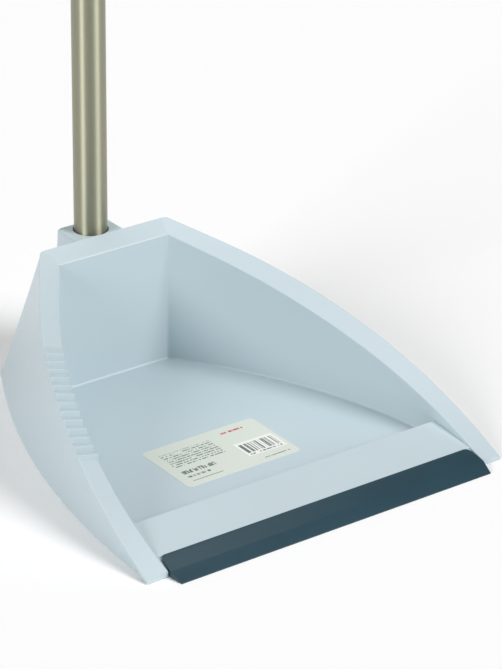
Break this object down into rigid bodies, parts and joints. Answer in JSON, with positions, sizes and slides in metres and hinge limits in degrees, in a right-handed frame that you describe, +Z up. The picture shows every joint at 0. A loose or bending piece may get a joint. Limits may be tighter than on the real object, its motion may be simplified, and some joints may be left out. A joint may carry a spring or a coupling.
{
  "type": "long-handled dust pan",
  "caption": "Upright dust pan: flared tray with a broad rim, brush comb and rubber lip, on a jointed steel handle with a grip, hanging eye and brush clip.",
  "frame": {"origin": "on the ground, at the centre of the bounding box's footprint, under the middle of the pan", "axes": "+Z up along the handle, +Y to the rear of the pan where the handle stands, +X to the right seen from the rubber lip; the lip points to -Y"},
  "size_m": [0.3058, 0.3338, 0.816],
  "materials": {
    "pan_plastic": "moulded polypropylene, pale ice blue, satin gloss",
    "lip_rubber": "dark teal thermoplastic rubber, satin",
    "label_paper": "cream coated paper, matte",
    "tube_steel": "satin steel tube",
    "insert_plastic": "black moulded plastic",
    "trim_plastic": "dark teal moulded plastic",
    "fastener_steel": "zinc-plated steel"
  },
  "bodies": {
    "pan": {"pan_shell": "pan_plastic", "rubber_lip": "lip_rubber", "product_label": "label_paper"},
    "handle": {"lower_tube": "tube_steel", "foot_plug": "insert_plastic", "tube_joiner": "trim_plastic", "upper_tube": "tube_steel", "button_spring": "fastener_steel", "grip_core": "pan_plastic", "grip_sleeve": "lip_rubber", "end_cap": "pan_plastic"},
    "button": {"snap_button": "fastener_steel"},
    "brush_clip": {"clip_jaw_half": "trim_plastic", "clip_rear_half": "trim_plastic", "clip_screws": "fastener_steel", "clip_nuts": "fastener_steel"}
  },
  "joints": [
    {"name": "handle_lift", "type": "slide", "parent": "pan", "child": "handle", "axis": [0, 0, 1], "range_m": [0, 0.09]},
    {"name": "snap_button_press", "type": "slide", "parent": "handle", "child": "button", "axis": [0, -1, 0], "range_m": [0, 0.002], "stiffness_N_per_m": 900, "springref_m": -0.002, "deforming": ["button_spring"]},
    {"name": "brush_clip_turn", "type": "hinge", "parent": "handle", "child": "brush_clip", "pos_m": [0, 0.1408, 0.56], "axis": [0, 0, 1], "continuous": true}
  ]
}
